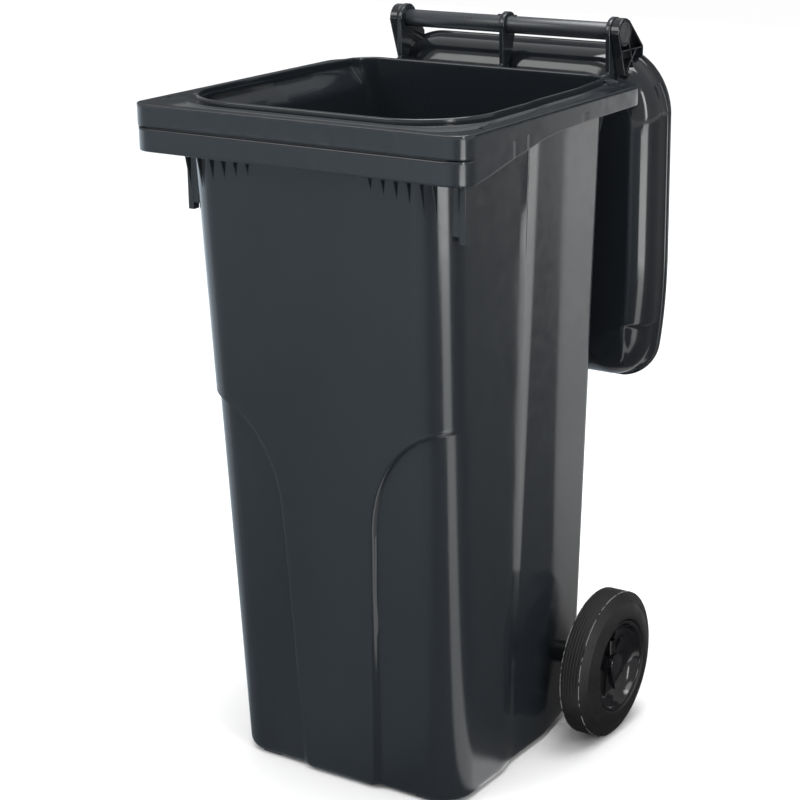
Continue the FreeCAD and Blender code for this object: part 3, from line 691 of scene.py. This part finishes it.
def lid_rings(rows, stations, outside):
    """Rings of the lid from (pull-in from the wall line, z) rows: a rounded rectangle whose sides close in.

    The first rows, counted by outside, are the outer face and carry the finger grips.
    """
    pull, z = np.array(rows, float).T
    x, y = rounded_plan(216 - pull, 22 + pull, 468 - pull, np.interp(pull, [0, 50, 200], [50, 32, 12]),
                        np.interp(pull, [0, 50, 200], [90, 70, 12]), stations)
    # the sides draw in along a long ellipse towards the free end
    along = np.clip((200 - y) / 195, 0, 0.98)
    x = x * (1 - 0.16 * (1 - np.sqrt(1 - along ** 2)))
    zz = np.broadcast_to(z[:, None], x.shape)
    # finger grip at each free corner: the shoulder steps in beyond y 103, and an oval dent beside it
    outer = (z > 893)[:, None] * (np.arange(len(z)) < outside)[:, None]
    step = smooth((103.5 - y) / 3) * smooth((y - 30) / 30) * smooth((x - 176) / 10)
    turn = math.radians(32)
    a, b = x - 163, y - 66
    oval = np.hypot((a * math.cos(turn) - b * math.sin(turn)) / 24, (a * math.sin(turn) + b * math.cos(turn)) / 38)
    zz = zz - outer * (2.2 * step + 1.8 * smooth((1 - oval) / 0.7))
    right = np.stack([x - outer * 2.2 * step, y, zz], -1)
    left = right[:, -2:0:-1] * [-1, 1, 1]
    return np.concatenate([right, left], 1)


def lid_shell():
    """Closed skin: crowned top, rounded shoulder, drafted wall, turned-out rim, and back up inside."""
    stations = (cuts((0, 0.6, 15), (0.6, 1, 30))[:-1], np.linspace(0, 1, 41),
                cuts((0, 0.07, 8), (0.07, 0.14, 16), (0.14, 1, 30))[1:-1], np.linspace(1, 0, 31)[1:])
    t = np.radians(np.linspace(90, 0, 19))
    top = [(200, 929.8), (160, 929.9), (110, 929.9)] + [(p, 929.85) for p in np.linspace(94, 40, 28)]
    shoulder = [(2 + 36 * (1 - math.cos(a)), 894 + 36 * math.sin(a) - 0.1) for a in t]
    wall = [(1.2, 888), (0.5, 884.6), (-0.2, 883.2), (-1.8, 882.3), (-3.3, 881.9), (-3.9, 881.2), (-3.95, 880.3),
            (-3.6, 879.4), (-2.8, 879.05), (0.5, 879.05), (3.0, 879.3), (3.4, 881)]
    inner = [(5 + 33 * (1 - math.cos(a)), 892 + 31 * math.sin(a)) for a in t[::-1]]
    flat = [(60, 923), (80, 923), (94, 923), (110, 925), (160, 926), (200, 926.5)]
    rings = lid_rings(top + shoulder + wall + inner + flat, stations, len(top + shoulder))
    return skin(rings)


def lid_arm():
    """Hinge arm: ring round the pin, thin web, edge wall and two ribs that are open to the outside."""
    outline = [(493.5, 948.7), (438, 929.5), (438, 884), (462, 880.8), (470, 880.8), (507.3, 919.9)]
    web = prism([(484, 944.5), (440, 928), (440, 885), (462, 882), (469, 882), (503, 918)], 164.8, 167.4)
    def strip(a, b, thick):
        a, b = np.array(a, float), np.array(b, float)
        along = (b - a) / np.linalg.norm(b - a)
        side = np.array([-along[1], along[0]]) * thick / 2
        return prism([a + side, b + side, b - side, a - side], 165.2, 176.6)
    edge = [strip(outline[i], outline[(i + 1) % 6], 2.2) for i in range(5)]
    ribs = [strip((441, 905), (482, 919.5), 2.0), strip((469.5, 882), (469.5, 938), 2.0), strip((441, 926), (470, 897), 1.6)]
    boss = turned([(164.8, 8.1), (164.8, 17.6), (165.2, 18), (176.1, 18), (176.8, 17.3), (176.8, 14.4), (174.0, 14.3),
                   (174.0, 8.1)], HINGE_Y, HINGE_Z, 72)
    return [web, boss] + edge + ribs


build("lid_shell", hung([lid_shell()]), LID_HDPE, "lid", ["lid"], crease=50)
build("lid_arms", hung(both(lid_arm())), LID_HDPE, "lid", bevel=0.35)


# ------------------------------------------------------------------ wheels
def tyre():
    """Solid tyre: ribbed tread, a mould line at the shoulder, fine rings on the sidewall, a bead at the seat."""
    mid, half = 219.0, 24.7
    tread_x = np.linspace(0, 12.6, 30)
    tread_r = 99.85 - 0.25 * (tread_x / 12.6) ** 2 - 0.35 * (np.cos(tread_x * 2 * np.pi / 4.2) > 0.55)
    shoulder = [(13.2, 99.3), (13.6, 99.85), (14.2, 99.9), (14.5, 99.3), (14.8, 98.4)]
    side_t = np.linspace(0, 1, 50)[1:]
    side_x = 14.8 + (half - 14.8) * (1 - (1 - side_t) ** 1.7)
    side_r = 98.4 + (67.0 - 98.4) * side_t
    groove = 0.45 * (np.sin(side_t * 2 * np.pi * 16) > 0.2) * (side_t < 0.42)
    seat = [(half, 66), (half - 0.2, 64.4), (half - 1.4, 63.4), (half - 3.2, 62.6), (half - 3.6, 62.05)]
    right = list(zip(tread_x, tread_r)) + shoulder + list(zip(side_x - groove, side_r)) + seat
    outline = [(mid - x, r) for x, r in right[::-1]] + [(mid + x, r) for x, r in right[1:]]
    return [turned(outline, AXLE_Y, AXLE_Z, 144)]


def wheel_rim():
    """Dished rim with a lip, ten thin webs, a hub with a flat cap seat and the lock chimney."""
    seat = [(197.2, 55.8), (197.2, 61.9), (241.6, 61.9), (242.0, 61.4), (242.0, 58.9), (241.2, 58.3),
            (240.6, 57.2), (238, 56.0), (234, 54.4), (230, 51.6), (226.5, 47.2), (224, 41.0), (222.6, 33.0),
            (222.0, 24.0), (222.0, 13.5),
            (217.2, 13.5), (217.2, 50), (212, 53.4), (205, 55.0)]
    hub = [(194.6, 10.1), (194.6, 13.4), (195.2, 14), (233.4, 14), (233.9, 13.4), (233.9, 10.1)]
    parts = [turned(seat, AXLE_Y, AXLE_Z, 120), turned(hub, AXLE_Y, AXLE_Z, 64)]
    for k in range(10):
        a = math.radians(36 * (k + 0.5))
        web, polys = prism([(-0.6, 13.0), (0.6, 13.0), (0.5, 46.0), (-0.5, 46.0)], 220.5, 227.5)
        web[:, 0] = np.where((web[:, 0] > 225) & (web[:, 2] < 30), 225.0, web[:, 0])
        y, z = web[:, 1], web[:, 2]
        spun = np.column_stack([web[:, 0], AXLE_Y + y * math.cos(a) - z * math.sin(a),
                                AXLE_Z + y * math.sin(a) + z * math.cos(a)])
        parts.append((spun, polys))
    turn = np.linspace(0, 2 * np.pi, 32, endpoint=False)
    ring = lambda r, z: np.column_stack([227 + r * np.cos(turn), AXLE_Y + r * np.sin(turn), np.full(32, AXLE_Z + z)])
    parts.append(skin(np.stack([ring(5.9, 14.2), ring(5.9, 34.2), ring(5.2, 34.5), ring(4.1, 34.5), ring(4.1, 14.2)]),
                      closed_rows=True))
    return parts


def hub_cap():
    """Round cap with a slightly crowned face."""
    return [turned([(231.4, 0), (231.4, 10), (234.02, 10.05), (234.02, 15.0), (236.2, 15.15), (236.8, 14.6),
                    (236.95, 12), (236.99, 0)], AXLE_Y, AXLE_Z, 64)]


def spacer():
    """Sleeve between body and wheel with two shallow rings."""
    return [turned([(162.6, 10.2), (162.6, 14.4), (163.2, 14.95), (170, 14.95), (170.6, 14.4), (186, 14.4),
                    (186.6, 14.95), (193.4, 14.95), (194.0, 14.4), (194.0, 10.2)], AXLE_Y, AXLE_Z, 64)]


for side, flip in (("right", list), ("left", mirrored)):
    wheel = "wheel_" + side
    build("tyre_ring_" + side, flip(tyre()), RUBBER, wheel, ["tyre_" + side], crease=24)
    build("rim_" + side, flip(wheel_rim()), RIM_PP, wheel, ["wheel_rim_" + side], crease=28)
    build("cap_" + side, flip(hub_cap()), RIM_PP, wheel, ["hub_cap_" + side], crease=30)
    build("spacer_" + side, flip(spacer()), DULL_PP, "bin", ["wheel_spacer_" + side], crease=30)


# ------------------------------------------------------------------ the nodes that stay
def dress(name, finish):
    """Gives a CAD node its finish."""
    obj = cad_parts[name]
    if not obj.material_slots:
        obj.data.materials.append(finish)
    for slot in obj.material_slots:
        slot.material = finish


dress("axle", AXLE_ZINC)
dress("transponder_plug", PIN_NYLON)
for side in ("right", "left"):
    dress("lock_pin_" + side, PIN_NYLON)
    dress("lock_spring_" + side, SPRING_STEEL)


# ------------------------------------------------------------------ floor, lights and camera
def floor():
    """Plain pale floor, 60 m square."""
    made, tree, shader, place = material("pale floor", "#fbfbfb", 0.95, ior=1.2)
    mesh = bpy.data.meshes.new("floor")
    mesh.from_pydata([(-30, -30, 0), (30, -30, 0), (30, 30, 0), (-30, 30, 0)], [], [(0, 1, 2, 3)])
    mesh.materials.append(made)
    obj = bpy.data.objects.new("floor", mesh)
    bpy.context.scene.collection.objects.link(obj)


def ramp(tree, stops, value):
    """Smooth curve of brightness from (place, brightness) stops."""
    made = node(tree, "ShaderNodeValToRGB", Fac=value)
    made.color_ramp.interpolation = "EASE"
    points = made.color_ramp.elements
    while len(points) < len(stops):
        points.new(0.5)
    for point, (place, level) in zip(points, stops):
        point.position, point.color = place, (level, level, level, 1)
    return made.outputs["Color"]


def glossy_only(obj):
    """A reflector seen in reflections alone."""
    obj.visible_camera = obj.visible_diffuse = obj.visible_shadow = obj.visible_transmission = False
    obj.visible_volume_scatter = False


# brightness of the lower reflector: by bearing from straight ahead, in turns, and by distance, 0 to 4 m
BEARING = [(0.0, 0.9), (0.10, 1.3), (0.30, 1.05), (0.345, 0.50), (0.400, 0.40), (0.432, 0.56), (0.500, 0.50),
           (0.560, 0.24), (0.640, 0.26), (0.655, 2.6), (0.700, 2.6), (0.722, 0.26), (0.780, 0.14), (0.9128, 0.17),
           (0.9175, 0.85), (0.99, 0.9)]
NEAR_TO_FAR = [(0.0, 0.45), (0.12, 0.62), (0.35, 0.95), (0.62, 1.35), (0.85, 1.7), (1.0, 1.8)]


def low_reflector():
    """Wide flat reflector just over the floor: soft bands of light that the walls and rounded edges mirror."""
    made = bpy.data.materials.new("low reflector")
    made.use_nodes = True
    tree = made.node_tree
    tree.nodes.clear()
    place = node(tree, "ShaderNodeTexCoord").outputs["Object"]
    part = node(tree, "ShaderNodeSeparateXYZ", Vector=place)
    x, y = part.outputs[0], part.outputs[1]
    bearing = maths(tree, "ARCTAN2", x, maths(tree, "MULTIPLY", y, -1.0))
    turns = maths(tree, "ADD", maths(tree, "DIVIDE", bearing, 2 * math.pi), 0.5)
    far = node(tree, "ShaderNodeVectorMath", {"operation": "LENGTH"}, i0=place)
    near = maths(tree, "DIVIDE", far.outputs["Value"], 4.0)
    level = maths(tree, "MULTIPLY", ramp(tree, BEARING, turns), ramp(tree, NEAR_TO_FAR, near))
    # cool in front, neutral on the right
    tint = node(tree, "ShaderNodeMix", {"data_type": "RGBA"}, Factor=ramp(tree, [(0.56, 0), (0.65, 1)], turns))
    tint.inputs[6].default_value, tint.inputs[7].default_value = (0.78, 0.90, 1.0, 1), (1, 1, 1, 1)
    glow = node(tree, "ShaderNodeEmission", Color=tint.outputs[2], Strength=level)
    end = node(tree, "ShaderNodeOutputMaterial", Surface=glow.outputs[0])
    mesh = bpy.data.meshes.new("low_reflector")
    mesh.from_pydata([(-7, -7, 0.002), (7, -7, 0.002), (7, 7, 0.002), (-7, 7, 0.002)], [], [(0, 1, 2, 3)])
    mesh.materials.append(made)
    obj = bpy.data.objects.new("low_reflector", mesh)
    bpy.context.scene.collection.objects.link(obj)
    glossy_only(obj)


def far_reflector():
    """Bright patch further out on the right, which the rim's corner and the lid's shoulder mirror."""
    made, tree, shader, place = material("far reflector", "#000000", 0.9)
    shader.inputs["Emission Color"].default_value = (1, 1, 1, 1)
    shader.inputs["Emission Strength"].default_value = 6.0
    turn = np.radians([46, 53, 60, 67, 74])
    ring = lambda r: [(r * math.sin(a), -r * math.cos(a), 0.004) for a in turn]
    mesh = bpy.data.meshes.new("far_reflector")
    mesh.from_pydata(ring(2.35) + ring(4.6), [], [(k, k + 1, k + 6, k + 5) for k in range(4)])
    mesh.materials.append(made)
    obj = bpy.data.objects.new("far_reflector", mesh)
    bpy.context.scene.collection.objects.link(obj)
    glossy_only(obj)


def dark_screen():
    """Grey screen behind, which the flat flange mirrors."""
    made, tree, shader, place = material("grey screen", "#000000", 0.9)
    shader.inputs["Emission Color"].default_value = (1, 1, 1, 1)
    shader.inputs["Emission Strength"].default_value = 0.07
    mesh = bpy.data.meshes.new("grey_screen")
    mesh.from_pydata([(-7, 5, 0.1), (4, 5, 0.1), (4, 5, 3.4), (-7, 5, 3.4)], [], [(0, 1, 2, 3)])
    mesh.materials.append(made)
    obj = bpy.data.objects.new("grey_screen", mesh)
    bpy.context.scene.collection.objects.link(obj)
    glossy_only(obj)


def light(name, place, aim, size, power):
    """Soft area light at place, turned towards aim."""
    lamp = bpy.data.lights.new(name, "AREA")
    lamp.shape = "RECTANGLE"
    lamp.size, lamp.size_y = size
    lamp.energy = power
    obj = bpy.data.objects.new(name, lamp)
    bpy.context.scene.collection.objects.link(obj)
    obj.location = place
    obj.rotation_euler = (Vector(aim) - Vector(place)).to_track_quat("-Z", "Y").to_euler()
    obj.visible_camera = False


def camera():
    """View from the front right, a little above the rim, rolled by a degree."""
    lens = bpy.data.cameras.new("camera")
    lens.lens, lens.sensor_width = 95.31, 36.0
    obj = bpy.data.objects.new("camera", lens)
    bpy.context.scene.collection.objects.link(obj)
    eye, aim = Vector((1.46424, -2.21727, 1.29129)), Vector((-0.02868, -0.00500, 0.46256))
    back = (eye - aim).normalized()
    right = Vector((0, 0, 1)).cross(back).normalized()
    up = back.cross(right)
    roll = math.radians(-0.818)
    side = right * math.cos(roll) + up * math.sin(roll)
    over = up * math.cos(roll) - right * math.sin(roll)
    obj.matrix_world = Matrix((
        (side.x, over.x, back.x, eye.x), (side.y, over.y, back.y, eye.y), (side.z, over.z, back.z, eye.z),
        (0, 0, 0, 1)))
    bpy.context.scene.camera = obj


def studio():
    """White room light with large soft boxes."""
    world = bpy.data.worlds.new("studio")
    bpy.context.scene.world = world
    world.use_nodes = True
    back = world.node_tree.nodes["Background"]
    back.inputs["Color"].default_value = (1, 1, 1, 1)
    back.inputs["Strength"].default_value = 0.55
    light("key", (-1.6, -2.6, 2.6), (0, 0, 0.5), (1.6, 1.6), 30)
    light("top", (0.2, 0.3, 3.2), (0, 0, 0.9), (1.8, 1.8), 60)
    light("strip", (2.9, -1.3, 1.75), (0, 0, 0.9), (0.45, 2.0), 26)
    sun = bpy.data.lights.new("soft sky light", "SUN")
    sun.energy, sun.angle = 1.5, math.radians(50)
    high = bpy.data.objects.new("soft sky light", sun)
    bpy.context.scene.collection.objects.link(high)
    high.rotation_euler = (math.radians(12), 0, 0)
    bpy.context.scene.view_settings.view_transform = "Standard"


floor()
low_reflector()
far_reflector()
dark_screen()
studio()
camera()
